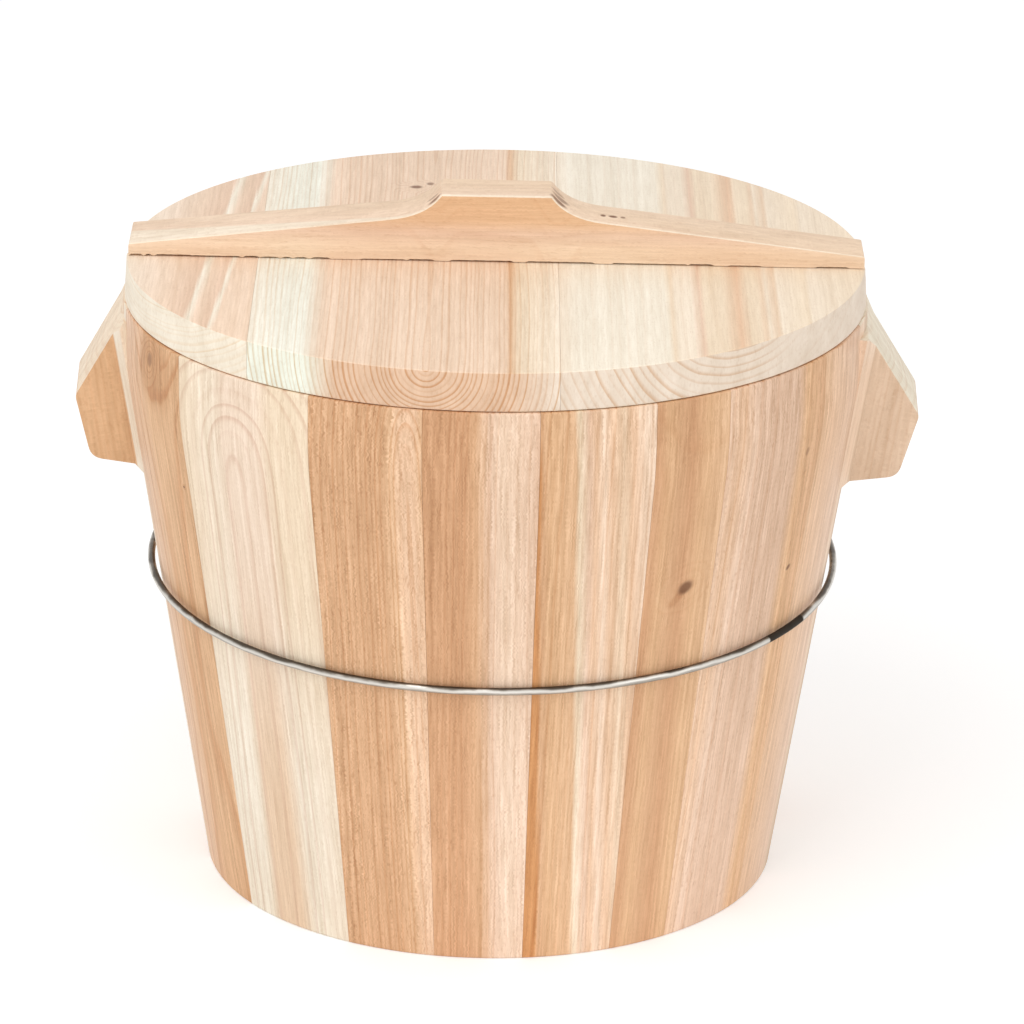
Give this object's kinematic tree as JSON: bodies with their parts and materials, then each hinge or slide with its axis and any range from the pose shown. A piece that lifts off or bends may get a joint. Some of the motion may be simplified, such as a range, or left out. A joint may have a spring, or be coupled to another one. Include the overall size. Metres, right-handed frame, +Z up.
{
  "type": "wooden rice steamer",
  "caption": "Tapered stave tub with carved ear handles and a wire hoop, a round plank lid with a raised grip bar, and a lift-out slatted grate for steaming rice.",
  "frame": {"origin": "on the floor under the middle of the tub", "axes": "+Z up, +X towards the right-hand ear, -Y towards the front of the picture"},
  "size_m": [0.368, 0.3224, 0.3063],
  "materials": {
    "pale_fir": "bare planed fir, pale sapwood",
    "tan_fir": "bare planed fir, tan heartwood",
    "reddish_fir": "bare planed fir, reddish",
    "ear_fir": "bare carved fir",
    "bar_fir": "bare planed fir, orange tan",
    "grate_fir": "bare sawn fir",
    "bamboo": "split bamboo",
    "steel_wire": "plain drawn wire"
  },
  "bodies": {
    "tub": {"ear_stave_left": "ear_fir", "ear_stave_right": "ear_fir", "stave_front_1": "tan_fir", "stave_front_2": "pale_fir", "stave_front_3": "tan_fir", "stave_front_4": "tan_fir", "stave_front_5": "tan_fir", "stave_front_6": "tan_fir", "stave_front_7": "reddish_fir", "stave_front_8": "reddish_fir", "stave_back_1": "tan_fir", "stave_back_2": "pale_fir", "stave_back_3": "tan_fir", "stave_back_4": "pale_fir", "stave_back_5": "tan_fir", "stave_back_6": "pale_fir", "stave_back_7": "reddish_fir", "stave_back_8": "pale_fir", "stave_pin_01": "bamboo", "stave_pin_02": "bamboo", "stave_pin_03": "bamboo", "stave_pin_04": "bamboo", "stave_pin_05": "bamboo", "stave_pin_06": "bamboo", "stave_pin_07": "bamboo", "stave_pin_08": "bamboo", "stave_pin_09": "bamboo", "stave_pin_10": "bamboo", "stave_pin_11": "bamboo", "stave_pin_12": "bamboo", "stave_pin_13": "bamboo", "stave_pin_14": "bamboo", "stave_pin_15": "bamboo", "stave_pin_16": "bamboo", "stave_pin_17": "bamboo", "stave_pin_18": "bamboo", "wire_hoop": "steel_wire"},
    "lid": {"lid_plank_left": "reddish_fir", "lid_plank_middle": "pale_fir", "lid_plank_right": "pale_fir", "lid_handle_bar": "bar_fir", "lid_dowel_left_front": "bamboo", "lid_dowel_left_back": "bamboo", "lid_dowel_right_front": "bamboo", "lid_dowel_right_back": "bamboo"},
    "grate": {"grate_slat_1": "grate_fir", "grate_slat_2": "grate_fir", "grate_slat_3": "grate_fir", "grate_slat_4": "grate_fir", "grate_slat_5": "grate_fir", "grate_slat_6": "grate_fir", "grate_slat_7": "grate_fir", "grate_batten_front": "grate_fir", "grate_batten_back": "grate_fir"}
  },
  "joints": [
    {"name": "lid_lift", "type": "slide", "parent": "tub", "child": "lid", "axis": [0, 0, 1], "range_m": [0, 0.25]},
    {"name": "grate_lift", "type": "slide", "parent": "tub", "child": "grate", "axis": [0, 0, 1], "range_m": [0, 0.2]}
  ]
}
